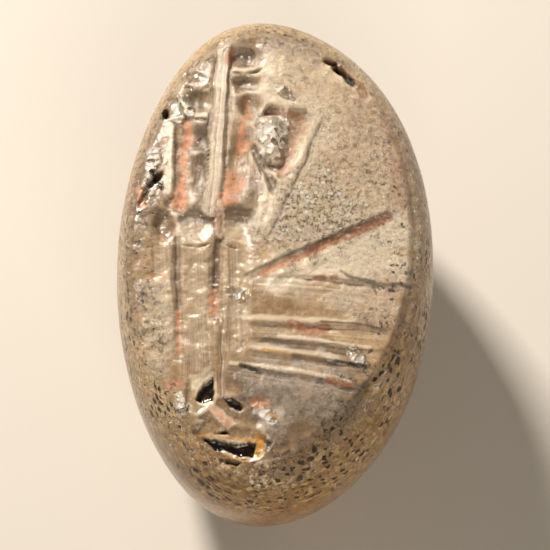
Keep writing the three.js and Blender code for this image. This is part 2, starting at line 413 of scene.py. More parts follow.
PAINT = (
    # Orange-pink deposit in the torsos, the hat, the raised hand and the folds
    Paint("deposit", ((-64.5, 53), (-66, 40), (-62.5, 26), (-66, 16)), 0.56, ragged=1.0),
    Paint("deposit", ((-69, 15), (-64, 14)), 0.34, 0.8),
    Paint("deposit", ((-26.5, 55), (-23.5, 42), (-28.5, 30), (-30.5, 17)), 0.74, ragged=1.0),
    Paint("deposit", ((-25, 66), (-21, 59)), 0.34, 0.85),
    Paint("deposit", ((-37, 89), (-38.5, 83)), 0.34, 0.8),
    Paint("deposit", ((16, 54), (13, 47), (5, 33)), 0.6, 0.5, ragged=0.9),
    Paint("deposit", ((-61, -34), (-58, -52)), 0.26, 0.85, ragged=0.6),
    Paint("deposit", ((-37, -25), (-36.5, -33)), 0.46, 0.9),
    Paint("deposit", ((-82, -18.5), (-73, -18)), 0.34, 0.7),
    Paint("deposit", ((-9, 58), (-3, 62), (15, 59)), 0.34, 0.6, ragged=0.7),
    Paint("deposit", ((-95, 22), (-91, 14)), 0.3, 0.7),
    # Red-brown deposit under the wing's edges
    Paint("rust", ((26, -4.2), (55, 5.4), (80, 14.4)), 0.56, 0.95, 0.4),
    Paint("deposit", ((-4, -15.6), (20, -7.4), (40, -0.6)), 0.42, 0.9, 0.4),
    Paint("rust", ((33, -16.6), (47, -15.4)), 0.3, 0.8, ragged=0.6),
    Paint("rust", ((18, -37.4), (30, -41), (42, -38)), 0.42, 0.95, ragged=0.5),
    Paint("rust", ((45, -60.5), (60, -62.2)), 0.34, 0.95, ragged=0.6),
    Paint("rust", ((-63, -66), (-57, -65.5)), 0.4, 0.9, ragged=0.9),
    Paint("rust", ((75, 68), (88, 47), (91.5, 22)), 0.9, 0.4, soft=0.8),
    Paint("rust", ((-38, 14), (-37.5, 0)), 0.2, 0.45),
    Paint("rust", ((32, 87.5), (46, 82), (60, 73)), 0.6, 0.6, ragged=1.1, soft=0.8),
    # Painted shadow: dark lines along the steep upper walls of the wing's cuts and of a fine line below them,
    # and painted shade in the deepest chips of the rim
    Paint("dark", ((-16, -16.8), (30, -0.6), (60, 9.8), (80, 17)), 0.16, 0.7, 0.5, 1.0),
    Paint("dark", ((50, -12.4), (57, -14.8), (68, -15.6), (88, -16.6)), 0.16, 0.75, 0.8, 1.0),
    Paint("dark", ((38, -35.6), (62, -35.2), (84, -36.6)), 0.12, 0.75, 0.8, 1.0),
    Paint("dark", ((20, -50.8), (50, -52.6), (60, -53)), 0.14, 0.6, 0.8, 1.0),
    Paint("dark", ((50, -52.4), (60, -53), (70, -53.4)), 0.2, 0.9, 0.8, 0.8),
    Paint("dark", ((-15.5, -57), (-9, -57.6), (-2, -60)), 0.16, 0.9, 0.7, 1.0),
    Paint("dark", ((39, 83), (43, 81.5), (50, 78)), 0.34, ragged=1.2),
    Paint("dark", ((34, 86.5), (38, 86)), 0.34, 0.85, ragged=1.2),
    Paint("dark", ((-86, 30), (-79, 22)), 0.2, 0.9, ragged=0.9),
    Paint("dark", ((-80.5, 57), (-79.5, 60)), 0.4, ragged=0.7),
    Paint("dark", ((77, -17), (89, -15.4), (98, -16), (106, -11.7)), 0.14, 0.8, 0.8, 1.0),
    # Painted light: golden edges where the broken end catches light from inside, and a golden line along one
    # of the wing's lower cuts
    Paint("gold", ((-42, -87), (-20, -87.6), (2.7, -88.8)), 0.09),
    Paint("gold", ((-36, -93), (-21.7, -96.3), (-6, -97.6)), 0.07, 0.8),
    Paint("gold", ((-32, -95.5), (-14.6, -100)), 0.07, 0.8),
    Paint("gold", ((7, -77), (13, -78.5)), 0.14),
    Paint("gold", ((-1, -49.6), (20, -50.6), (40, -51.8)), 0.12, 0.8),
    # Glassy fresh breaks: glossier and faceted, with painted reflections on their facets and painted glints
    Paint("glassy_break_and_painted_sheen", ((-6, 56), (-2, 41)), 1.3, ragged=0.6),
    Paint("glassy_break_and_painted_sheen", ((-73, 62), (-70, 59)), 1.0, ragged=0.5),
    Paint("glassy_break_and_painted_sheen", ((-86, 40), (-88, 20)), 0.5, 0.8, ragged=0.9),
    Paint("glassy_break_and_painted_sheen", ((-54, -73), (-52, -77)), 0.5, ragged=0.9),
    Paint("glassy_break_and_painted_sheen", ((-2, -76), (8, -78)), 0.6, ragged=0.9),
    Paint("glassy_break_and_painted_sheen", ((2, 70), (8, 68)), 0.5, ragged=0.5),
    Paint("glassy_break_and_painted_sheen", ((62, -47.5), (66, -51)), 0.5, ragged=0.5),
    Paint("glassy_break_and_painted_sheen", ((-16, -26), (-25, -24)), 0.5, 0.7, ragged=0.9),
    # Painted highlights: cream where the cuts' slopes and ridges face the light, and on the bright wall of
    # the forearm
    Paint("cream", ((27, 60), (-9, 1)), 0.5, 1.0),
    Paint("cream", ((8, -15), (50, -3), (84, 7)), 1.9, 1.0, soft=0.6),
    Paint("cream", ((40, -9), (84, -6)), 1.8, 1.0, soft=0.7),
    Paint("cream", ((-42.4, 92), (-43, 14)), 0.55, 0.4, 0.3, 0.8),
    # Painted shade: grey lines on either side of the staff
    Paint("grey", ((-46.4, 88), (-47.4, 14)), 0.3, 0.7, 0.6, 1.0),
    Paint("grey", ((-38.6, 88), (-38, 14)), 0.26, 0.7, 0.6, 1.0),
    Paint("cream", ((-76, 51), (-73, 20)), 0.5, 0.8),
    Paint("cream", ((-60, 1), (-44, 1)), 0.9, 0.35, soft=0.6),
    Paint("cream", ((-27, 2), (-13, 3)), 1.0, 0.45, soft=0.6),
    Paint("cream", ((-52, -8), (-46, -52)), 1.0, 0.25, soft=0.6),
    Paint("cream", ((-22, -6), (-17, -42)), 0.9, 0.25, soft=0.6),
    Paint("cream", ((-75, -8), (-72, -40)), 0.8, 0.3, soft=0.6),
    Paint("cream", ((10, -43), (40, -44), (73, -45)), 0.16, 1.0),
    Paint("cream", ((-14, -35.8), (37, -34.8), (60, -34.6)), 0.24, 0.9, soft=0.6),
    Paint("cream", ((-9, -48.4), (20, -49.4), (50, -50.6)), 0.3, 0.9, soft=0.6),
    Paint("cream", ((-22, -56.2), (20, -57.2), (60, -60.6)), 0.16, 0.9),
    Paint("cream", ((-14, -14), (30, -13.6), (48, -12.6)), 0.4, 0.8, soft=0.6),
    Paint("cream", ((-8, 80), (-3, 62), (18, 64), (30, 50)), 1.8, 0.6, soft=0.8),
    Paint("cream", ((-6, 20), (-10, 6)), 0.8, 0.8, soft=0.5),
    # Grey where the stone is clear and shows its depth, partly its own greyer tone and partly painted shade:
    # in the figures' hollows, the grooves, under the belt's upper walls and over the lower face
    Paint("grey", ((2, -71), (30, -72), (50, -67)), 3.5, 0.95, soft=0.7),
    Paint("grey", ((12, -85), (36, -79), (54, -66)), 2.4, 0.8, soft=0.8),
    Paint("grey", ((-60, 84), (-58, 20)), 3.4, 0.62, soft=0.7),
    Paint("grey", ((-26, 88), (-22, 22)), 3.4, 0.62, soft=0.7),
    Paint("grey", ((-56, -12), (-30, -66)), 5.0, 0.3, soft=0.9),
    Paint("grey", ((-2, -27), (50, -26)), 1.7, 0.2, soft=0.6),
    Paint("grey", ((0, -46.6), (60, -48)), 0.5, 0.85, soft=0.6),
    Paint("grey", ((-52.4, 52), (-52.4, 41)), 1.2, 0.9, soft=0.4),
    Paint("grey", ((-54, 40), (-52, 18)), 0.8, 0.7, soft=0.6),
    Paint("grey", ((-32, 85), (-22, 85)), 1.2, 0.75, soft=0.5),
    Paint("grey", ((-26, 73), (-20, 72)), 0.9, 0.8, soft=0.5),
    Paint("grey", ((-17, 65), (-17, 58)), 0.9, 0.7, soft=0.5),
    Paint("grey", ((-62, 78), (-56, 62)), 1.6, 0.75, soft=0.6),
    Paint("grey", ((-66, -1), (-60, -40)), 0.34, 0.8),
    Paint("grey", ((-68, 84), (-86, 62), (-96, 30), (-100, -10), (-96, -40)), 2.2, 0.75, soft=0.8),
    Paint("grey", ((12, 54), (6, 32)), 1.0, 0.6, soft=0.6),
    Paint("grey", ((-14, 38), (3, 20)), 0.3, 0.8, soft=0.6),
    Paint("grey", ((-38, 10), (-36, -33)), 0.5, 0.9, soft=0.5),
    Paint("grey", ((-62, 11), (-46, 11)), 0.9, 0.95, soft=0.4),
    Paint("grey", ((-28, 12), (-12, 12)), 0.9, 0.95, soft=0.4),
    Paint("grey", ((-46, -79), (-38, -88)), 1.3, 0.4, soft=0.6),
    Paint("grey", ((-12, 36), (-4, 24)), 0.8, 0.5, soft=0.5),
    Paint("grey", ((-76, 80), (-52, 91), (-15, 98), (40, 88)), 1.3, 0.6, soft=0.7),
    # Coarse sparkling ground: real grains in the relief, with a dark and cream speckle that is partly its own
    # grain and partly painted sparkle
    Paint("grit", ((30, 22), (16, 4), (50, 12)), 3.2, 1.0, soft=0.6),
    Paint("grit", ((20, 70), (50, 50), (72, 8)), 5.0, 0.5, soft=0.8),
    Paint("grit", ((10, -74), (40, -68)), 3.0, 0.24, soft=0.6),
    Paint("grit", ((-80, -28), (-72, -52)), 1.6, 0.5, soft=0.6),
    Paint("grit", ((50, -4), (86, -8)), 2.6, 0.45, soft=0.7),
    Paint("grit", ((-60, 60), (-54, 18)), 2.6, 0.12, soft=0.7),
    Paint("grit", ((-28, 80), (-20, 20)), 2.6, 0.12, soft=0.7),
    Paint("grit", ((60, -25), (84, -30)), 2.0, 0.3, soft=0.7),
    # Pits along the rim
    Paint("pits", ((78, 30), (90, 0), (86, -30), (72, -52)), 1.6, 0.9, soft=0.9),
    Paint("pits", ((40, 92), (72, 68), (90, 30)), 1.3, 0.5, soft=0.9),
    Paint("pits", ((-88, 40), (-94, 0), (-88, -30), (-74, -62), (-52, -84), (-20, -100)), 1.5, 0.8, soft=0.9),
    Paint("pits", ((-20, -100), (20, -96), (50, -78), (72, -52)), 1.5, 0.75, soft=0.9),
    Paint("pits", ((-60, 88), (0, 98), (40, 90)), 1.0, 0.6, soft=0.9),
)


@dataclass(frozen=True)
class Group:
    """Features cut together, and how many times the relief was softened after them."""

    name: str
    features: tuple[Stroke | Block, ...]
    passes: int = 0


GROUPS = (
    Group("left figure", LEFT_FIGURE),
    Group("right figure", RIGHT_FIGURE, 4),
    Group("raised arm", RAISED_ARM),
    Group("back strokes", BACK_STROKES, 2),
    Group("wing", WING),
)

# deposit, rust and pits are stains and pits of the stone; cream is painted highlight, dark painted shade,
# gold painted light, grey the clear stone's tone with painted shade, grit coarse ground with partly painted
# sparkle, and the glassy breaks carry painted reflections
CHANNELS = ("deposit", "rust", "dark", "gold", "glassy_break_and_painted_sheen", "cream", "grey", "grit", "pits")


class FaceMap:
    """Places on the engraved face, in its own level frame: s to the right and t up, in millimetres."""

    def __init__(self, sizes: StoneSizes) -> None:
        self.sizes = sizes

    def flatten(self, points: np.ndarray) -> np.ndarray:
        """Points of the stone in the face's frame.

        Args:
            points: Points as rows x, y, z in millimetres.

        Returns:
            Rows s, t.
        """
        x, y = points[:, 0] - self.sizes.face_offset, points[:, 1]
        cos, sin = math.cos(self.sizes.face_turn), math.sin(self.sizes.face_turn)
        return np.stack([x * cos + y * sin, -x * sin + y * cos], axis=1)

    def place(self, hundredths: tuple[float, float]) -> np.ndarray:
        """A named place of the engraving.

        Args:
            hundredths: Across and along, in hundredths of the face's half sizes.

        Returns:
            The place as s, t.
        """
        return np.array([self.sizes.face.across, self.sizes.face.along]) * hundredths / 100


class Engraving:
    """Sinks strokes into the face and lays colour over them."""

    WOBBLE = 0.12  # how far a cut's edge wanders, in millimetres
    RAGGED = 0.14  # how far a flake's edge wanders, in millimetres
    PROUD = 0.04  # how far a ridge may stand above the face, in millimetres

    def __init__(self, face: FaceMap, points: np.ndarray, grid: tuple[int, int]) -> None:
        self.face = face
        self.grid = grid
        self.noise = Noise(3)
        flat = face.flatten(points)
        spread = np.column_stack([flat, np.zeros(len(flat))])
        wander = np.stack([self.noise.rough(spread + shift, 1.1, 4) for shift in (0, 31)], axis=1)
        self.clean = flat
        self.flat = flat + self.WOBBLE * wander
        self.uneven = 1 + 0.3 * self.noise.rough(spread + 60, 0.9)
        self.spread = spread
        self.depth = np.zeros(len(points))
        self.marks = np.zeros(len(points))
        self.across = np.zeros(len(points))
        self.channels = {name: np.zeros(len(points)) for name in CHANNELS}
        self.count = 0

    def sink(self, feature: Stroke | Block) -> None:
        """Cuts one feature, where it goes deeper than what is there.

        Args:
            feature: The stroke or block.
        """
        shape, across = self._shape(feature)
        new = feature.depth * shape * self.uneven
        deeper = (new > self.depth) & (shape > 0)
        self.depth = np.where(deeper, new, self.depth)
        self.marks = np.where(deeper, feature.marks * smoothstep(0, 0.3, shape), self.marks)
        self.count += 1
        self.across = np.where(deeper, across + 3.7 * self.count, self.across)

    def break_off(self, flake: Flake) -> None:
        """Sinks and colours a straight-edged flake.

        Args:
            flake: The flake.
        """
        corners = np.array([self.face.place(corner) for corner in flake.corners])
        after = np.roll(corners, -1, axis=0)
        turning = float(np.sum(corners[:, 0] * after[:, 1] - after[:, 0] * corners[:, 1]))
        inside = np.full(len(self.clean), np.inf)
        wander = self.RAGGED * self.noise.rough(self.spread + 17, 0.5, 4)
        for corner, following in zip(corners, after):
            left = self._from_line(self.clean, corner, following)[1]
            inside = np.minimum(inside, math.copysign(1, turning) * left + wander)
        mask = smoothstep(-flake.edge, flake.edge, inside)
        self.depth = np.maximum(self.depth, flake.depth * mask * (0.8 + 0.2 * self.uneven))
        channel = self.channels[flake.channel]
        self.channels[flake.channel] = np.maximum(channel, flake.strength * mask)

    def soften(self, passes: int) -> None:
        """Wears what has been cut so far, as burial and handling do.

        Args:
            passes: How often each depth is averaged with its neighbours.
        """
        rows, columns = self.grid
        depth = self.depth[: rows * columns].reshape(rows, columns)
        for _ in range(passes):
            padded = np.pad(depth, 1, mode="edge")
            depth = (padded[:-2, 1:-1] + padded[2:, 1:-1] + 2 * depth) / 4
            padded = np.pad(depth, 1, mode="edge")
            depth = (padded[1:-1, :-2] + padded[1:-1, 2:] + 2 * depth) / 4
        self.depth[: rows * columns] = depth.ravel()

    def raise_ridge(self, ridge: Stroke) -> None:
        """Leaves a ridge standing in what has been cut.

        Args:
            ridge: The ridge as a stroke; its depth is how far it fills the cut.
        """
        shape, across = self._shape(ridge)
        highest = np.minimum(self.depth, 0) - self.PROUD * shape
        filled = np.maximum(self.depth - ridge.depth * shape, highest)
        self.depth = np.where(shape > 0, filled, self.depth)
        self.marks = np.where(shape > 0.2, ridge.marks, self.marks)
        self.across = np.where(shape > 0.2, across, self.across)

    def paint(self, band: Paint) -> None:
        """Lays a band of colour or finish.

        Args:
            band: The band.
        """
        places = [self.face.place(point) for point in band.points]
        distance = np.full(len(self.clean), np.inf)
        for start, end in zip(places, places[1:]):
            distance = np.minimum(distance, self._from_line(self.clean, start, end)[2])
        edge = distance / band.width + band.ragged * self.noise.rough(self.spread + 5, 0.6, 4)
        mask = 1 - smoothstep(0.5 - band.soft / 2, 0.5 + band.soft / 2, edge)
        self.channels[band.channel] = np.maximum(self.channels[band.channel], band.strength * mask)

    @staticmethod
    def _from_line(flat: np.ndarray, start: np.ndarray, end: np.ndarray) -> tuple[np.ndarray, ...]:
        """Where points lie about a line.

        Args:
            flat: The points, as rows s, t.
            start: The line's start.
            end: The line's end.

        Returns:
            For each point its share along the line, its signed distance to the line's left, its plain
            distance, and how far it lies beyond the nearer end.
        """
        run = end - start
        length = float(np.hypot(*run))
        unit = run / length
        offset = flat - start
        along = offset @ unit
        left = offset[:, 1] * unit[0] - offset[:, 0] * unit[1]
        beyond = np.maximum(0, np.maximum(-along, along - length))
        return np.clip(along / length, 0, 1), left, np.hypot(left, beyond), beyond

    def _shape(self, feature: Stroke | Block) -> tuple[np.ndarray, np.ndarray]:
        """How deep a feature is at each point.

        Args:
            feature: The stroke or block.

        Returns:
            The depth as a share of the full depth, and the distance across the feature.
        """
        if isinstance(feature, Block):
            return self._block_shape(feature)
        return self._stroke_shape(feature)

    def _block_shape(self, block: Block) -> tuple[np.ndarray, np.ndarray]:
        """How deep a block is at each point.

        Args:
            block: The block.

        Returns:
            The depth as a share of the full depth, and the distance across the block.
        """
        offset = self.flat - self.face.place(block.place)
        turn = math.radians(block.turn)
        u = offset[:, 0] * math.cos(turn) + offset[:, 1] * math.sin(turn)
        v = -offset[:, 0] * math.sin(turn) + offset[:, 1] * math.cos(turn)
        power = block.squareness
        reach = np.abs(2 * u / block.size[0]) ** power + np.abs(2 * v / block.size[1]) ** power
        return smoothstep(0, block.wall, 1 - reach ** (1 / power)), u

    def _stroke_shape(self, stroke: Stroke) -> tuple[np.ndarray, np.ndarray]:
        """How deep a stroke is at each point.

        Args:
            stroke: The stroke.

        Returns:
            The depth as a share of the full depth, and the signed distance to the stroke's left.
        """
        start, end = self.face.place(stroke.start), self.face.place(stroke.end)
        share, left, distance, beyond = self._from_line(self.flat, start, end)
        end_width = stroke.width if stroke.end_width is None else stroke.end_width
        width = stroke.width + (end_width - stroke.width) * share
        middle = 1 - stroke.taper * np.abs(2 * share - 1) ** 3
        if stroke.profile is Profile.WEDGE:
            down = -left if end[0] > start[0] else left
            shape = np.where(down > 0, np.minimum(down / stroke.wall, 1) * np.clip(1 - down / width, 0, 1), 0)
            return shape * middle * (1 - smoothstep(0, 0.35, beyond)), left
        edge = 2 * distance / width
        if stroke.profile is Profile.ROUND:
            shape = np.clip(1 - edge**2, 0, 1)
        elif stroke.profile is Profile.FLAT:
            shape = 1 - smoothstep(0.4, 1, edge)
        else:
            shape = np.clip(1 - edge, 0, 1)
        return shape * middle, left


# The surface of the stone


@dataclass
class Surface:
    """The stone's mesh before it goes to Blender, in millimetres."""

    grid: tuple[int, int]  # rows and columns of the face's points, which come first
    points: np.ndarray
    faces: list[list[int]]
    side: np.ndarray  # 0 on the face, 1 on the girth and below
    rim: np.ndarray  # 1 on the face's edge, 0 in its middle and low on the side
    band: np.ndarray  # for each face corner: millimetres round the stone and down its side


class StoneBuilder:
    """Builds the pebble's surface: a square grid on the face, then rings down to the rest."""

    RIM_REACH = 1.6  # how far below the face's edge the rim's wear reaches, in millimetres

    def __init__(self, sizes: StoneSizes, fineness: MeshFineness) -> None:
        self.sizes = sizes
        self.fineness = fineness
        self.inside = Oval(sizes.face.across - sizes.edge_chamfer, sizes.face.along - sizes.edge_chamfer)

    def outline(self, across: np.ndarray, along: np.ndarray, face_share: float | np.ndarray) -> np.ndarray:
        """Turns points of a plain oval into points of the stone's own outline.

        Args:
            across: Distance across, from the oval's middle.
            along: Distance along, from the oval's middle.
            face_share: 0 at the girth and 1 at the face.

        Returns:
            Rows x, y.
        """
        turn = self.sizes.face_turn * face_share
        x = across * np.cos(turn) - along * np.sin(turn)
        y = across * np.sin(turn) + along * np.cos(turn)
        return np.stack([x + self.sizes.face_offset * face_share, y], axis=-1)

    def ring(
        self, oval: Oval, angles: np.ndarray, face_share: float, reach: np.ndarray | float = 1.0
    ) -> np.ndarray:
        """One outline of the stone seen from above.

        Args:
            oval: Its half sizes.
            angles: Where its points are.
            face_share: 0 at the girth and 1 at the face.
            reach: How far out each point is, as a share of the oval.

        Returns:
            Rows x, y.
        """
        sizes = self.sizes
        endwise = np.sin(angles)
        narrowing = np.where(endwise < 0, sizes.tip_narrowing * np.abs(endwise) ** 3 * face_share, 0)
        flat = self.outline(
            oval.across * reach * np.cos(angles) * (1 - narrowing), oval.along * reach * endwise, face_share
        )
        offset = np.where(endwise > 0, sizes.top_offset, sizes.lower_offset)
        flat[:, 0] -= offset * oval.along * reach * endwise**4 / sizes.girth.along
        return flat

    def face_grid(self) -> tuple[np.ndarray, np.ndarray, np.ndarray]:
        """The face's grid points: a square grid bent into the oval.

        Returns:
            The points row by row, their angles, and how far out they are as a share of the face.
        """
        columns, rows = self.fineness.face_columns, self.fineness.face_rows
        grids = np.meshgrid(np.linspace(-1, 1, columns + 1), np.linspace(-1, 1, rows + 1))
        u, v = (grid.ravel() for grid in grids)
        wide = np.abs(u) >= np.abs(v)
        reach = np.where(wide, np.abs(u), np.abs(v))
        with np.errstate(divide="ignore", invalid="ignore"):
            turn = np.where(wide, v / u, -u / v) * math.pi / 4
        turn = np.nan_to_num(turn)
        base = np.where(wide, np.where(u >= 0, 0, math.pi), np.where(v >= 0, math.pi / 2, -math.pi / 2))
        angles = base + turn
        flat = self.ring(self.inside, angles, 1, reach)
        height = self.sizes.face_level + self.sizes.face_crown * (1 - reach**2)
        return np.column_stack([flat, height]), angles, reach

    def border(self) -> np.ndarray:
        """The face's border.

        Returns:
            The indexes of its points, anticlockwise from the lower right corner.
        """
        columns, rows = self.fineness.face_columns, self.fineness.face_rows
        row = columns + 1
        up = [columns + row * i for i in range(rows)]
        left = [row * rows + columns - i for i in range(columns)]
        down = [row * (rows - i) for i in range(rows)]
        right = list(range(columns))
        return np.array(up + left + down + right)

    def profile(self) -> list[tuple[Oval, float, float]]:
        """The outlines below the face, from its edge down to the rest.

        Returns:
            For each its half sizes, its height and its share of the face's turn and offset.
        """
        sizes, fineness = self.sizes, self.fineness
        rows = []
        for i in range(1, fineness.edge_rings + 1):
            share = i / fineness.edge_rings
            oval = self.inside.towards(sizes.face, share)
            rows.append((oval, sizes.face_level - sizes.edge_chamfer * share**1.3, 1.0))
        sweep = sizes.shoulder_sweep
        for i in range(1, fineness.shoulder_rings + 1):
            turn = sweep * (1 - i / fineness.shoulder_rings)
            share = (1 - math.cos(turn)) / (1 - math.cos(sweep))
            rise = math.sin(turn) / math.sin(sweep) * (sizes.shoulder_height - sizes.edge_chamfer)
            rows.append((sizes.girth.towards(sizes.face, share), sizes.girth_height + rise, share))
        for i in range(1, fineness.dome_rings + 1):
            turn = math.pi / 2 * (1 - i / fineness.dome_rings)
            oval = sizes.rest.towards(sizes.girth, math.sin(turn))
            rows.append((oval, sizes.girth_height * (1 - math.cos(turn)), 0.0))
        return rows

    def build(self) -> Surface:
        """Makes the whole plain surface.

        Returns:
            The surface before it is carved.
        """
        columns, rows = self.fineness.face_columns, self.fineness.face_rows
        grid, angles, reach = self.face_grid()
        border = self.border()
        round_angles = angles[border]
        count = len(border)
        points = [grid]
        side = [np.zeros(len(grid))]
        rim = [smoothstep(0.9, 1.0, reach)]
        rings = [border]
        start = len(grid)
        level = self.sizes.face_level
        for oval, height, face_share in self.profile():
            flat = self.ring(oval, round_angles, face_share)
            points.append(np.column_stack([flat, np.full(count, height)]))
            side.append(np.full(count, min(1.0, (level - height) / self.sizes.shoulder_height)))
            rim.append(np.full(count, max(0.0, 1 - (level - height) / self.RIM_REACH)))
            rings.append(np.arange(start, start + count))
            start += count
        all_points = np.concatenate(points)
        row = columns + 1
        index = (np.arange(rows)[:, None] * row + np.arange(columns)).ravel()
        faces = np.stack([index, index + 1, index + row + 1, index + row], axis=1)
        band = [np.zeros((4 * len(faces), 3))]
        quads = [faces]
        down = 0.0
        step = np.arange(count)
        after = np.roll(step, -1)
        girth = self.ring(self.sizes.girth, round_angles, 0)
        arc = np.concatenate([[0], np.cumsum(np.hypot(*(np.roll(girth, -1, axis=0) - girth).T))])
        for upper, lower in zip(rings, rings[1:]):
            drop = float(np.mean(np.linalg.norm(all_points[upper] - all_points[lower], axis=1)))
            quads.append(np.stack([upper[after], upper[step], lower[step], lower[after]], axis=1))
            corners = np.zeros((count, 4, 3))
            corners[:, (0, 3), 0] = arc[1:, None]
            corners[:, (1, 2), 0] = arc[:-1, None]
            corners[:, (0, 1), 1] = down
            corners[:, (2, 3), 1] = down + drop
            corners[:, :, 2] = 1
            band.append(corners.reshape(-1, 3))
            down += drop
        floor = rings[-1][::-1]
        band.append(np.zeros((len(floor), 3)))
        return Surface((rows + 1, columns + 1), all_points, [*np.concatenate(quads).tolist(), floor.tolist()],
                       np.concatenate(side), np.concatenate(rim), np.concatenate(band))


class SealCarver:
    """Carves the plain surface and works out what its material reads."""

    WIDEST = 0.97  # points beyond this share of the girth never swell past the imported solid
    CREASE = 0.18  # a step this high shows fully as painted shade in a crease or a painted highlight on an edge, in millimetres

    def __init__(self, sizes: StoneSizes, surface: Surface, wear: Wear) -> None:
        self.sizes = sizes
        self.surface = surface
        self.wear = wear
        self.engraving = Engraving(FaceMap(sizes), surface.points, surface.grid)
        self.noise = Noise(11)

    def carve(self) -> dict[str, np.ndarray]:
        """Cuts the engraving and wears the surface.

        Returns:
            The named values of each point that the material reads.
        """
        engraving = self.engraving
        for group in GROUPS:
            for feature in group.features:
                engraving.sink(feature)
            if group.passes:
                engraving.soften(group.passes)
            log.info("cut the %s: %d strokes", group.name, len(group.features))
        for ridge in RIDGES:
            engraving.raise_ridge(ridge)
        for line in LINES:
            engraving.sink(line)
        for chip in DAMAGE:
            if isinstance(chip, Flake):
                engraving.break_off(chip)
            else:
                engraving.sink(chip)
        for flake in FLAKES:
            engraving.break_off(flake)
        for band in PAINT:
            engraving.paint(band)
        log.info("laid %d bands of colour and finish", len(PAINT))
        return self._apply()

    def _apply(self) -> dict[str, np.ndarray]:
        """Moves the surface's points to where the cuts and the wear leave them.

        Returns:
            The named values of each point that the material reads.
        """
        points, wear, rough = self.surface.points, self.wear, self.noise.rough
        height = points[:, 2].copy()
        near = smoothstep(self.sizes.face_level - wear.fade, self.sizes.face_level, height)
        low = height < 1e-6
        sunk = smoothstep(0.02, 0.2, self.engraving.depth)
        depth = (self.engraving.depth + rough(points + 13, wear.cut_swell) * wear.cut_height * sunk) * near
        values = {name: value * near for name, value in self.engraving.channels.items()}
        grains = rough(points, wear.grit_swell, 2) * wear.grit_height * values["grit"]
        swells = rough(points, wear.face_swell) * wear.face_height * near
        chipped = np.clip(rough(points + 40, wear.rim_swell, 4) - 0.05, 0, 1)
        points[:, 2] -= depth + wear.rim_depth * chipped * self.surface.rim - grains - swells
        swell = 1 + wear.side_share * rough(points, wear.side_swell) * (1 - near)
        girth = self.sizes.girth
        edge = np.maximum(np.abs(points[:, 0]) / girth.across, np.abs(points[:, 1]) / girth.along)
        swell = np.where(edge > self.WIDEST, np.minimum(swell, 1), swell)
        points[:, :2] *= np.where(low, 1, swell)[:, None]
        values["marks"] = self.engraving.marks * near
        values["across"] = self.engraving.across
        values["sunk"] = np.clip(depth / wear.deep, 0, 1)
        values["crease"] = self._crease(depth)
        values["side"] = self.surface.side
        return values

    def _crease(self, depth: np.ndarray) -> np.ndarray:
        """How much each point of the face lies below its neighbours.

        Args:
            depth: How deep each point has been cut, in millimetres.

        Returns:
            Above 0 in a crease, below 0 on an edge, and 0 off the face.
        """
        count = math.prod(self.surface.grid)
        grid = depth[:count].reshape(self.surface.grid)
        total = np.zeros_like(grid)
        for reach in (2, 4):
            padded = np.pad(grid, reach, mode="edge")
            around = (padded[: -2 * reach, reach:-reach] + padded[2 * reach :, reach:-reach]
                      + padded[reach:-reach, : -2 * reach] + padded[reach:-reach, 2 * reach :]) / 4
            total += grid - around
        crease = np.zeros(len(depth))
        crease[:count] = np.clip(total.ravel() / self.CREASE, -1, 1)
        return crease


# Materials


def linear(code: str) -> tuple[float, float, float, float]:
    """An sRGB hex colour as linear light.

    Args:
        code: Six hex digits.

    Returns:
        Red, green, blue and a full alpha.
    """
    parts = [int(code[i : i + 2], 16) / 255 for i in (0, 2, 4)]
    return (*(part / 12.92 if part <= 0.04045 else ((part + 0.055) / 1.055) ** 2.4 for part in parts), 1.0)


def per_metre(size: float) -> float:
    """The scale that draws a pattern at its real size.

    Args:
        size: Size of one swell or cell of the pattern, in millimetres.

    Returns:
        How many of them go into a metre.
    """
    return 1 / (size * MM)


@dataclass(frozen=True)
class QuartzFinish:
    """Cloudy honey-coloured quartz, wheel-cut and worn to a satin polish."""

    clear: str = "ae9478"  # the clearer, greyer parts
    cloudy: str = "ccb596"
    honey: str = "94692c"  # the warm sides
    deep: str = "8f6214"  # low on the dome
    # the stone's paler tone, and the colour of the painted highlights
    cream: str = "faead0"
    skin: str = "e6c88c"  # the worn skin between the pits
    grey: str = "604e3a"  # where it is clear enough to show its depth, and the painted shade in hollows and grooves
    grain: str = "4e3a26"
    deposit: str = "dca07a"  # dried orange clay
    clay: str = "b87a52"
    rust: str = "c08560"
    umber: str = "8a5230"
    # painted golden light along the broken end's edges
    gold: str = "dba24e"
    dark: str = "1a1008"  # painted shade in the broken end's hollows, the rim's chips and along the cuts' upper walls
    # lighter patches within that painted shade
    hollow: str = "6a4c28"
    # the pits' dark fill, and the painted shade in creases
    pit: str = "341c0a"
    # the next two: the dark and the bright painted reflections on a fresh break's facets; the bright one also
    # paints the glints
    smoke: str = "85755f"
    ice: str = "fffaf0"
    roughness: float = 0.24
    subsurface: float = 0.3
    scatter: float = 0.45  # how far light spreads inside, in millimetres
    scatter_tint: tuple[float, float, float] = (1.0, 0.62, 0.34)
    transmission: float = 0.3
    ior: float = 1.54
    specular: float = 0.5
    coat: float = 0.48  # the polish of the face, half as strong on the dome
    coat_roughness: float = 0.08


@dataclass(frozen=True)
class PaperFinish:
    """Pale matt studio paper."""

    pale: str = "c8c4bd"
    shade: str = "c2beb7"
    cloud: float = 60.0  # millimetres
    roughness: float = 0.9


@dataclass(frozen=True)
class Swells:
    """A noise over the stone."""

    size: float  # of its broadest swell, in millimetres
    layers: float  # how many finer ones lie over it
    strength: float  # of each layer, as a share of the one before


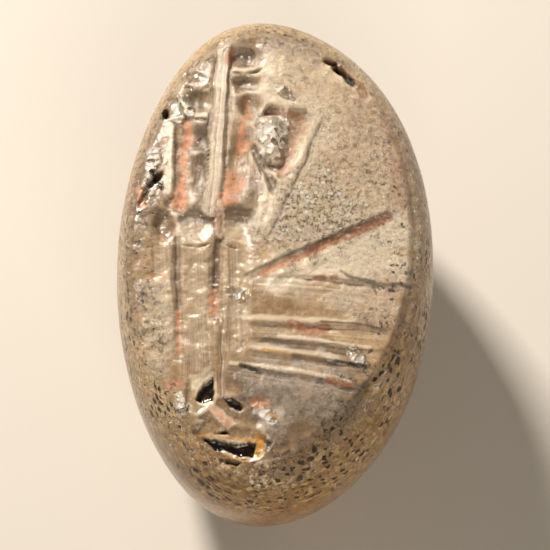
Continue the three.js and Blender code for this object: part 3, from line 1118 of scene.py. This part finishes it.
# Settings that many nodes share
TIMES = {"operation": "MULTIPLY"}
PLUS = {"operation": "ADD"}
MINUS = {"operation": "SUBTRACT"}
POWER = {"operation": "POWER"}
LARGER = {"operation": "MAXIMUM"}
RISE = {"interpolation_type": "SMOOTHSTEP"}
COLOURS = {"data_type": "RGBA"}
SOFT_LIGHT = {"data_type": "RGBA", "blend_type": "SOFT_LIGHT"}
CLAMPED = {"use_clamp": True}

# The colour sockets of a mixing node
SHARE, FIRST, SECOND, MIXED = 0, 6, 7, 2


class Nodes:
    """The nodes of one material."""

    def __init__(self, name: str) -> None:
        self.material = bpy.data.materials.new(name)
        self.material.use_nodes = True
        self.tree = self.material.node_tree
        self.shader = self.tree.nodes["Principled BSDF"]

    def add(self, kind: str, settings: dict, inputs: dict | tuple, output: int | str = 0) -> Socket:
        """Adds one node with its settings and links.

        Args:
            kind: The node's type, without its ShaderNode prefix.
            settings: The node's own properties.
            inputs: Values or sockets for its inputs, by name or number, or in order.
            output: The output to hand back, by name or number.

        Returns:
            The output.
        """
        node = self.tree.nodes.new("ShaderNode" + kind)
        for name, value in settings.items():
            setattr(node, name, value)
        self.feed(node, inputs if isinstance(inputs, dict) else dict(enumerate(inputs)))
        return node.outputs[output]

    def feed(self, node: bpy.types.Node, inputs: dict) -> None:
        """Sets or links a node's inputs.

        Args:
            node: The node.
            inputs: Values or sockets for its inputs, by name or number.
        """
        for name, value in inputs.items():
            if isinstance(value, Socket):
                self.tree.links.new(value, node.inputs[name])
            else:
                node.inputs[name].default_value = value


class QuartzMaterial:
    """Translucent quartz, ground and wheel-polished, then worn, pitted and stained by burial.

    It shows some depth where it is clear, partly as painted shade, a satin gloss where it is worn, and it
    sparkles where it is freshly broken, partly as painted glints and reflections. Painted shade darkens its
    creases and hollows, and painted highlights lighten its edges and the slopes that face the light. The
    carving left numbers on the surface, which say where each of these is.
    """

    READ = (*CHANNELS, "marks", "across", "sunk", "crease", "side")
    NOISES = {
        "patches": Swells(2.6, 2, 0.6),
        "dots": Swells(0.3, 3, 0.5),
        "clouds": Swells(4.5, 5, 0.55),
        "mottle": Swells(0.5, 6, 0.8),
        "flaws": Swells(0.24, 4, 0.8),
        "grain": Swells(0.22, 5, 0.85),
        "crumbs": Swells(0.22, 4, 0.7),
        "holes": Swells(0.3, 4, 0.7),
        "depths": Swells(0.4, 3, 0.6),
        "smears": Swells(1.1, 4, 0.6),
        "tooth": Swells(0.16, 3, 0.65),
        "ripple": Swells(0.5, 2, 0.5),
    }
    SHARD = 0.4  # size of a facet in a fresh break, in millimetres
    SPECK = 0.26  # spacing of the glinting specks; they are drawn as coarse as they need to show
    SCRATCHES = 7.0  # the wheel's scratches to a millimetre, as coarse as they need to show

    def __init__(self, finish: QuartzFinish) -> None:
        self.finish = finish
        self.nodes = Nodes("quartz_ground_and_wheel_polished")
        self.add = self.nodes.add
        self.colour = {name: linear(code) for name, code in vars(finish).items() if isinstance(code, str)}
        self.where = self.add("TexCoord", {}, {}, "Object")
        self.value = {name: self.add("Attribute", {"attribute_name": name}, {}, "Fac") for name in self.READ}
        self.noise = {}
        for name, swells in self.NOISES.items():
            inputs = {"Vector": self.where, "Scale": per_metre(swells.size), "Detail": swells.layers}
            self.noise[name] = self.add("TexNoise", {}, inputs | {"Roughness": swells.strength}, "Fac")
        scratches = {"W": self.value["across"], "Scale": self.SCRATCHES, "Detail": 4.0, "Roughness": 0.8}
        self.scratches = self.add("TexNoise", {"noise_dimensions": "1D"}, scratches, "Fac")
        self.pitting, self.skin = self._worn_side()
        self.shards = self._fresh_break()
        self.glint = self._glinting_specks()

    def make(self) -> bpy.types.Material:
        """Joins the patterns to the shader.

        Returns:
            The material.
        """
        finish = self.finish
        relief = self._relief()
        less = self.add("Math", TIMES, (self.value["side"], finish.coat * 0.5))
        polish = self.add("Math", MINUS | CLAMPED, (finish.coat, less))
        self.nodes.shader.subsurface_method = "RANDOM_WALK"
        self.nodes.feed(self.nodes.shader, {
            "Base Color": self._stained(self._broken(self._stone())),
            "Roughness": self._gloss(),
            "Normal": relief,
            "IOR": finish.ior,
            "Specular IOR Level": finish.specular,
            "Subsurface Weight": finish.subsurface,
            "Subsurface Radius": finish.scatter_tint,
            "Subsurface Scale": finish.scatter * MM,
            "Transmission Weight": finish.transmission,
            "Coat Weight": polish,
            "Coat Roughness": finish.coat_roughness,
            "Coat Normal": relief,
        })
        log.info("material %s", self.nodes.material.name)
        return self.nodes.material

    def _lay(self, body: Socket | tuple, layers: tuple) -> Socket:
        """Lays colours over one another.

        Args:
            body: The colour under them.
            layers: For each, where it lies, how strongly, and its colour.

        Returns:
            The colour that shows.
        """
        for where, strength, colour in layers:
            share = self.add("Math", TIMES, (where, strength))
            body = self.add("Mix", COLOURS, {SHARE: share, FIRST: body, SECOND: colour}, MIXED)
        return body

    def _worn_side(self) -> tuple[Socket, Socket]:
        """The side below the face, whose worn skin has dark pits up to half a millimetre long.

        Returns:
            Where the pits are, there and as rounder dots on the face, and where the skin is paler.
        """
        add, side = self.add, self.value["side"]
        band = add("Attribute", {"attribute_name": "band"}, {}, "Vector")
        level = {"noise_dimensions": "2D"}
        wander = add("TexNoise", level, {"Vector": band, "Scale": 2.5, "Detail": 2.0}, "Color")
        strayed = add("Mix", COLOURS, {SHARE: 0.2, FIRST: band, SECOND: wander}, MIXED)
        stretched = add("Mapping", {}, {"Vector": strayed, "Scale": (2.3, 5.6, 0.0)})
        cells = add("TexVoronoi", {"voronoi_dimensions": "2D"}, {"Vector": stretched, "Scale": 1.0}, "Color")
        from_middle = cells.node.outputs["Distance"]

        # More of them low on the shoulder and towards the scene's lower end
        starts, ends = add("MapRange", RISE, (side, 0.02, 0.12)), add("MapRange", RISE, (side, 0.55, 1.0))
        shoulder = add("Math", MINUS, (starts, ends))
        patchy = add("MapRange", RISE, (self.noise["patches"], 0.32, 0.6))
        along = add("SeparateXYZ", {}, {"Vector": self.where}, "Y")
        lower_end = add("Math", TIMES, (add("MapRange", RISE, (along, 6 * MM, -3 * MM)), 0.6))
        lower_end = add("Math", PLUS, (lower_end, 0.4))
        reach = add("Math", POWER, (add("SeparateColor", {}, {"Color": cells}, "Red"), 1.3))
        for share in (0.5, shoulder, patchy, lower_end):
            reach = add("Math", TIMES, (reach, share))
        pits = add("MapRange", RISE, (add("Math", MINUS, (reach, from_middle)), -0.03, 0.03))
        pits = add("Math", TIMES, (pits, add("MapRange", RISE, (reach, 0.02, 0.1))))
        dots = add("MapRange", RISE, (self.noise["dots"], 0.6, 0.66))
        dots = add("Math", TIMES, (dots, self.value["pits"]))

        streaks = {"Vector": stretched, "Scale": 1.1, "Detail": 4.0, "Roughness": 0.6}
        skin = add("MapRange", RISE, (add("TexNoise", level, streaks, "Fac"), 0.42, 0.62))
        return add("Math", LARGER | CLAMPED, (pits, dots)), add("Math", TIMES, (skin, shoulder))

    def _fresh_break(self) -> bpy.types.Node:
        """Curved facets of freshly broken stone.

        Returns:
            The node that has each facet's number and the distance from its middle.
        """
        bend = self.add("TexNoise", {}, {"Vector": self.where, "Scale": per_metre(2 * self.SHARD)}, "Color")
        bend = self.add("VectorMath", {"operation": "SCALE"}, {"Vector": bend, "Scale": 0.7 * MM})
        bent = self.add("VectorMath", {}, (self.where, bend))
        return self.add("TexVoronoi", {}, {"Vector": bent, "Scale": per_metre(self.SHARD)}).node

    def _glinting_specks(self) -> Socket:
        """Specks of fresh crystal a tenth of a millimetre across, in the cuts and the coarse ground: glossier
        and raised, and painted white as glints.

        Returns:
            Where they are.
        """
        add = self.add
        specks = add("TexVoronoi", {}, {"Vector": self.where, "Scale": per_metre(self.SPECK)}, "Color")
        pick = add("SeparateColor", {}, {"Color": specks}, "Green")
        rough = add("Math", LARGER, (self.value["grit"], self.value["glassy_break_and_painted_sheen"]))
        reach = add("Math", LARGER | CLAMPED, (rough, self.value["sunk"]))
        for share in (0.48, add("MapRange", RISE, (pick, 0.4, 1.0))):
            reach = add("Math", TIMES, (reach, share))
        inside = add("Math", MINUS, (reach, specks.node.outputs["Distance"]))
        glint = add("MapRange", RISE, (inside, -0.06, 0.04))
        return add("Math", TIMES, (glint, add("MapRange", RISE, (reach, 0.02, 0.08))))

    def _stone(self) -> Socket:
        """Colour of the stone: clear and milky clouds, honey towards the dome, flaws and the wheel's marks,
        with painted shade where it is grey and painted highlights where it is cream.

        Returns:
            The colour.
        """
        add, colour, value, noise = self.add, self.colour, self.value, self.noise
        cloud = add("MapRange", RISE, (noise["clouds"], 0.35, 0.65))
        mixed = {SHARE: cloud, FIRST: colour["clear"], SECOND: colour["cloudy"]}
        body = add("Mix", COLOURS, mixed, MIXED)
        dome = self._lay(colour["honey"], ((cloud, 0.45, colour["cloudy"]),))
        height = add("SeparateXYZ", {}, {"Vector": self.where}, "Z")
        body = self._lay(body, (
            (add("MapRange", RISE, (value["side"], 0.0, 0.45)), 1.0, dome),
            (add("MapRange", RISE, (height, 8.5 * MM, 3.5 * MM)), 0.8, colour["deep"]),
            (self.skin, 0.55, colour["skin"]),
        ))
        mottle = add("MapRange", RISE, (noise["mottle"], 0.36, 0.64))
        mottle = add("Mix", COLOURS, {SHARE: mottle, FIRST: colour["grain"], SECOND: colour["cream"]}, MIXED)
        softly = add("Math", MINUS, (0.55, add("Math", TIMES, (value["side"], 0.25))))
        body = add("Mix", SOFT_LIGHT, {SHARE: softly, FIRST: body, SECOND: mottle}, MIXED)
        streak = add("MapRange", RISE, (self.scratches, 0.35, 0.65))
        streaked = add("Mix", COLOURS, {SHARE: streak, FIRST: colour["grey"], SECOND: colour["cream"]}, MIXED)
        return self._lay(body, (
            (add("MapRange", RISE, (noise["flaws"], 0.54, 0.68)), 0.16, colour["grain"]),
            (add("MapRange", RISE, (noise["flaws"], 0.46, 0.34)), 0.2, colour["cream"]),
            # grey: the clear stone's greyer tone with painted shade; cream: painted highlights
            (value["grey"], 1.0, colour["grey"]),
            (value["cream"], 0.85, colour["cream"]),
            (value["marks"], 0.5, streaked),
        ))

    def _broken(self, body: Socket) -> Socket:
        """Colour of the painted shade in creases, the painted highlights on edges, the coarse ground with its
        partly painted sparkle, and the fresh breaks with painted reflections and glints.

        Args:
            body: The stone's own colour.

        Returns:
            The colour.
        """
        add, colour, value = self.add, self.colour, self.value
        grains = add("MapRange", RISE, (self.noise["grain"], 0.39, 0.54))
        grain, cream = colour["grain"], colour["cream"]
        grain_and_painted_sparkle = add("Mix", COLOURS, {SHARE: grains, FIRST: grain, SECOND: cream}, MIXED)
        facet = add("SeparateColor", {}, {"Color": self.shards.outputs["Color"]}, "Red")
        facet = add("MapRange", RISE, (facet, 0.2, 0.65))
        facets = add("Mix", COLOURS, {SHARE: facet, FIRST: colour["smoke"], SECOND: colour["ice"]}, MIXED)
        return self._lay(body, (
            # painted shade in the creases and painted highlights on the edges of the relief
            (add("MapRange", RISE, (value["crease"], 0.05, 0.75)), 0.36, colour["pit"]),
            (add("MapRange", RISE, (value["crease"], -0.08, -0.8)), 0.55, colour["cream"]),
            # the coarse ground's own grain, partly painted sparkle
            (value["grit"], 0.8, grain_and_painted_sparkle),
            # painted reflections on the fresh breaks' facets, and painted glints
            (value["glassy_break_and_painted_sheen"], 0.85, facets),
            (self.glint, 1.0, colour["ice"]),
        ))

    def _stained(self, body: Socket) -> Socket:
        """Colour of the dried clay and the pits, the painted golden light on the broken end's edges, and the
        painted shade in its hollows, the rim's chips and along the cuts' upper walls.

        Args:
            body: The colour under them.

        Returns:
            The colour.
        """
        add, colour, value = self.add, self.colour, self.value
        crumbs = add("MapRange", RISE, (self.noise["crumbs"], 0.3, 0.62))
        kept = add("MapRange", RISE, (self.noise["holes"], 0.34, 0.48))
        for channel, low, high in (("deposit", "clay", "deposit"), ("rust", "umber", "rust")):
            crust = add("Mix", COLOURS, {SHARE: crumbs, FIRST: colour[low], SECOND: colour[high]}, MIXED)
            body = self._lay(body, ((value[channel], kept, crust),))
        # painted shade, with lighter patches, for the dark hollows, chips and lines
        depths = add("MapRange", RISE, (self.noise["depths"], 0.5, 0.75))
        hollow = add("Mix", COLOURS, {SHARE: depths, FIRST: colour["dark"], SECOND: colour["hollow"]}, MIXED)
        return self._lay(body, (
            (self.pitting, 1.0, colour["pit"]),
            # painted golden light, then the painted shade
            (value["gold"], 1.0, colour["gold"]),
            (value["dark"], 1.0, hollow),
        ))

    def _gloss(self) -> Socket:
        """Roughness: satin, glassy on fresh breaks, dull on the deposits and in the pits.

        Returns:
            The roughness.
        """
        add, value = self.add, self.value
        smears = add("Math", MINUS, (self.noise["smears"], 0.5))
        rough = add("Math", PLUS, (add("Math", TIMES, (smears, 0.35)), self.finish.roughness))
        for glossy, strength in ((value["glassy_break_and_painted_sheen"], 0.22), (value["dark"], 0.2), (self.glint, 0.2)):
            rough = add("Math", MINUS, (rough, add("Math", TIMES, (glossy, strength))))
        crust = add("Math", LARGER, (value["deposit"], value["rust"]))
        dull = add("Math", TIMES, (add("Math", LARGER, (crust, self.pitting)), 0.45))
        return add("Math", PLUS | CLAMPED, (rough, dull))

    def _relief(self) -> Socket:
        """Relief finer than the mesh, from an all-over tooth to the pits.

        Returns:
            The direction the surface faces.
        """
        add, value = self.add, self.value
        share = add("Math", PLUS, (add("Math", TIMES, (value["grit"], 0.94)), 0.06))
        reliefs = (
            (0.35, 0.03, self.noise["tooth"]),
            (1.0, 0.05, self.noise["ripple"]),
            (1.0, 0.05, add("Math", TIMES, (self.scratches, value["marks"]))),
            (1.0, 0.24, add("Math", TIMES, (self.noise["grain"], share))),
            (1.0, 0.2, add("Math", TIMES, (self.shards.outputs["Distance"], value["glassy_break_and_painted_sheen"]))),
            (1.0, 0.12, self.glint),
            (1.0, -0.12, self.pitting),
            (1.0, 0.06, self.skin),
        )
        facing = None
        for strength, height, pattern in reliefs:
            inputs = {"Strength": strength, "Distance": abs(height) * MM, "Height": pattern}
            if facing is not None:
                inputs["Normal"] = facing
            facing = add("Bump", {"invert": height < 0}, inputs)
        return facing


def paper_material(finish: PaperFinish) -> bpy.types.Material:
    """Matt pale studio paper, with the faintest clouds.

    Args:
        finish: Its colours and roughness.

    Returns:
        The material.
    """
    nodes = Nodes("paper_pale_matt")
    where = nodes.add("TexCoord", {}, {}, "Object")
    clouds = {"Vector": where, "Scale": per_metre(finish.cloud), "Detail": 4.0, "Roughness": 0.6}
    share = nodes.add("TexNoise", {}, clouds, "Fac")
    tints = {SHARE: share, FIRST: linear(finish.shade), SECOND: linear(finish.pale)}
    tint = nodes.add("Mix", COLOURS, tints, MIXED)
    nodes.feed(nodes.shader, {"Base Color": tint, "Roughness": finish.roughness})
    return nodes.material


# The seal in Blender


class Seal:
    """The finished stone as a Blender object."""

    SHARP_ABOVE = math.radians(68)  # edges steeper than this stay sharp

    def __init__(self, sizes: StoneSizes, fineness: MeshFineness) -> None:
        self.sizes = sizes
        self.fineness = fineness

    def make(self) -> bpy.types.Object:
        """Builds, carves, bores and finishes the stone.

        Returns:
            The object.
        """
        surface = StoneBuilder(self.sizes, self.fineness).build()
        values = SealCarver(self.sizes, surface, Wear()).carve()
        mesh = bpy.data.meshes.new("engraved_seal")
        mesh.from_pydata((surface.points * MM).tolist(), [], surface.faces)
        for name, value in values.items():
            mesh.attributes.new(name, "FLOAT", "POINT").data.foreach_set("value", value.astype(np.float32))
        band = mesh.attributes.new("band", "FLOAT_VECTOR", "CORNER")
        band.data.foreach_set("vector", surface.band.astype(np.float32).ravel())
        piece = bpy.data.objects.new("engraved_seal", mesh)
        bpy.context.scene.collection.objects.link(piece)
        mesh.materials.append(QuartzMaterial(QuartzFinish()).make())
        self._bore(piece)
        mesh.shade_smooth()
        mesh.set_sharp_from_angle(angle=self.SHARP_ABOVE)
        log.info("seal: %d points, %d faces", len(mesh.vertices), len(mesh.polygons))
        return piece

    def _bore(self, piece: bpy.types.Object) -> None:
        """Drills the suspension hole, wide at both mouths and narrow in the middle.

        Args:
            piece: The stone.
        """
        sizes, sides = self.sizes, self.fineness.bore_sides
        reach = sizes.girth.across + 0.5
        stations = np.linspace(-reach, reach, self.fineness.bore_stations)
        growth = (sizes.mouth_diameter - sizes.bore_diameter) / 2 / sizes.girth.across
        points, faces = [], []
        for x in stations:
            radius = sizes.bore_diameter / 2 + growth * abs(x)
            for i in range(sides):
                angle = 2 * math.pi * i / sides
                height = sizes.bore_height + radius * math.sin(angle)
                points.append((x * MM, radius * math.cos(angle) * MM, height * MM))
        for row in range(len(stations) - 1):
            for i in range(sides):
                j = (i + 1) % sides
                faces.append((row * sides + i, row * sides + j, (row + 1) * sides + j, (row + 1) * sides + i))
        faces.append(list(range(sides))[::-1])
        faces.append(list(range(len(points) - sides, len(points))))
        mesh = bpy.data.meshes.new("bore")
        mesh.from_pydata(points, [], faces)
        mesh.materials.append(piece.data.materials[0])
        side = mesh.attributes.new("side", "FLOAT", "POINT")
        side.data.foreach_set("value", np.ones(len(points), np.float32))
        cutter = bpy.data.objects.new("bore", mesh)
        bpy.context.scene.collection.objects.link(cutter)
        cut = piece.modifiers.new("bore", "BOOLEAN")
        cut.operation, cut.object, cut.solver = "DIFFERENCE", cutter, "EXACT"
        bpy.context.view_layer.objects.active = piece
        with bpy.context.temp_override(object=piece, active_object=piece, selected_objects=[piece]):
            bpy.ops.object.modifier_apply(modifier=cut.name)
        bpy.data.objects.remove(cutter)
        log.info("bored the suspension hole")


# The studio


@dataclass(frozen=True)
class Shot:
    """The photograph's view of the seal. Lengths are in millimetres."""

    tilt: float = math.radians(22)  # the camera stands this far off the face's normal
    roll: float = math.radians(1.5)
    distance: float = 156.0
    lens: float = 200.0
    sensor: float = 36.0
    aim_height: float = 6.96
    aim_rise: float = 0.16

    def make(self) -> None:
        """Puts the camera where the photograph was taken from."""
        forward = Vector((0, math.sin(self.tilt), -math.cos(self.tilt)))
        right, up = Vector((1, 0, 0)), Vector((0, math.cos(self.tilt), math.sin(self.tilt)))
        rolled_right = right * math.cos(self.roll) + up * math.sin(self.roll)
        rolled_up = up * math.cos(self.roll) - right * math.sin(self.roll)
        aim = Vector((0, 0, self.aim_height)) + up * self.aim_rise
        camera = bpy.data.cameras.new("camera")
        camera.lens, camera.sensor_width = self.lens, self.sensor
        camera.clip_start, camera.clip_end = 5 * MM, 20
        holder = bpy.data.objects.new("camera", camera)
        turned = Matrix((rolled_right, rolled_up, -forward)).transposed().to_4x4()
        holder.matrix_world = Matrix.Translation((aim - forward * self.distance) * MM) @ turned
        bpy.context.scene.collection.objects.link(holder)
        bpy.context.scene.camera = holder
        log.info("camera %.0f mm away", self.distance)


@dataclass(frozen=True)
class Softbox:
    """An area light, placed in millimetres and aimed at the seal."""

    name: str
    place: tuple[float, float, float]
    size: float
    power: float
    colour: str


@dataclass(frozen=True)
class Studio:
    """A pale floor, soft lights and pale surroundings."""

    floor_half: float = 1500.0  # millimetres
    aim_height: float = 6.0  # where the lights point, in millimetres above the floor
    surroundings: str = "f2efe9"
    surroundings_strength: float = 0.11
    boxes: tuple[Softbox, ...] = (
        Softbox("key", (-110, 180, 145), 40, 1.4, "fff5e8"),
        Softbox("rim", (150, 120, 90), 60, 0.02, "fff0dc"),
        Softbox("fill", (50, -215, 120), 120, 0.36, "fff0dc"),
    )

    def make(self) -> None:
        """Makes the floor, the lights and the surroundings."""
        self._make_floor()
        for box in self.boxes:
            self._make_light(box)
        world = bpy.data.worlds.new("studio")
        world.use_nodes = True
        background = world.node_tree.nodes["Background"]
        background.inputs["Color"].default_value = linear(self.surroundings)
        background.inputs["Strength"].default_value = self.surroundings_strength
        bpy.context.scene.world = world
        bpy.context.scene.view_settings.view_transform = "Standard"
        log.info("studio: a floor and %d soft lights", len(self.boxes))

    def _make_floor(self) -> None:
        """Makes the floor as one level square."""
        half = self.floor_half * MM
        corners = [(-half, -half, 0), (half, -half, 0), (half, half, 0), (-half, half, 0)]
        mesh = bpy.data.meshes.new("floor")
        mesh.from_pydata(corners, [], [(0, 1, 2, 3)])
        mesh.materials.append(paper_material(PaperFinish()))
        floor = bpy.data.objects.new("floor", mesh)
        bpy.context.scene.collection.objects.link(floor)

    def _make_light(self, box: Softbox) -> None:
        """Makes one soft light.

        Args:
            box: The light.
        """
        light = bpy.data.lights.new(box.name, "AREA")
        light.size, light.energy = box.size * MM, box.power
        light.color = linear(box.colour)[:3]
        place = Vector(box.place) * MM
        holder = bpy.data.objects.new(box.name, light)
        holder.location = place
        away = place - Vector((0, 0, self.aim_height * MM))
        holder.rotation_euler = away.to_track_quat("Z", "Y").to_euler()
        bpy.context.scene.collection.objects.link(holder)


def main() -> None:
    """Builds the scene round the frame."""
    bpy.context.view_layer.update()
    Shot().make()
    Studio().make()
    seal = Seal(StoneSizes.from_box("seal"), MeshFineness()).make()
    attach(seal, "root")
    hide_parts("seal")


if __name__ == "__main__":
    main()
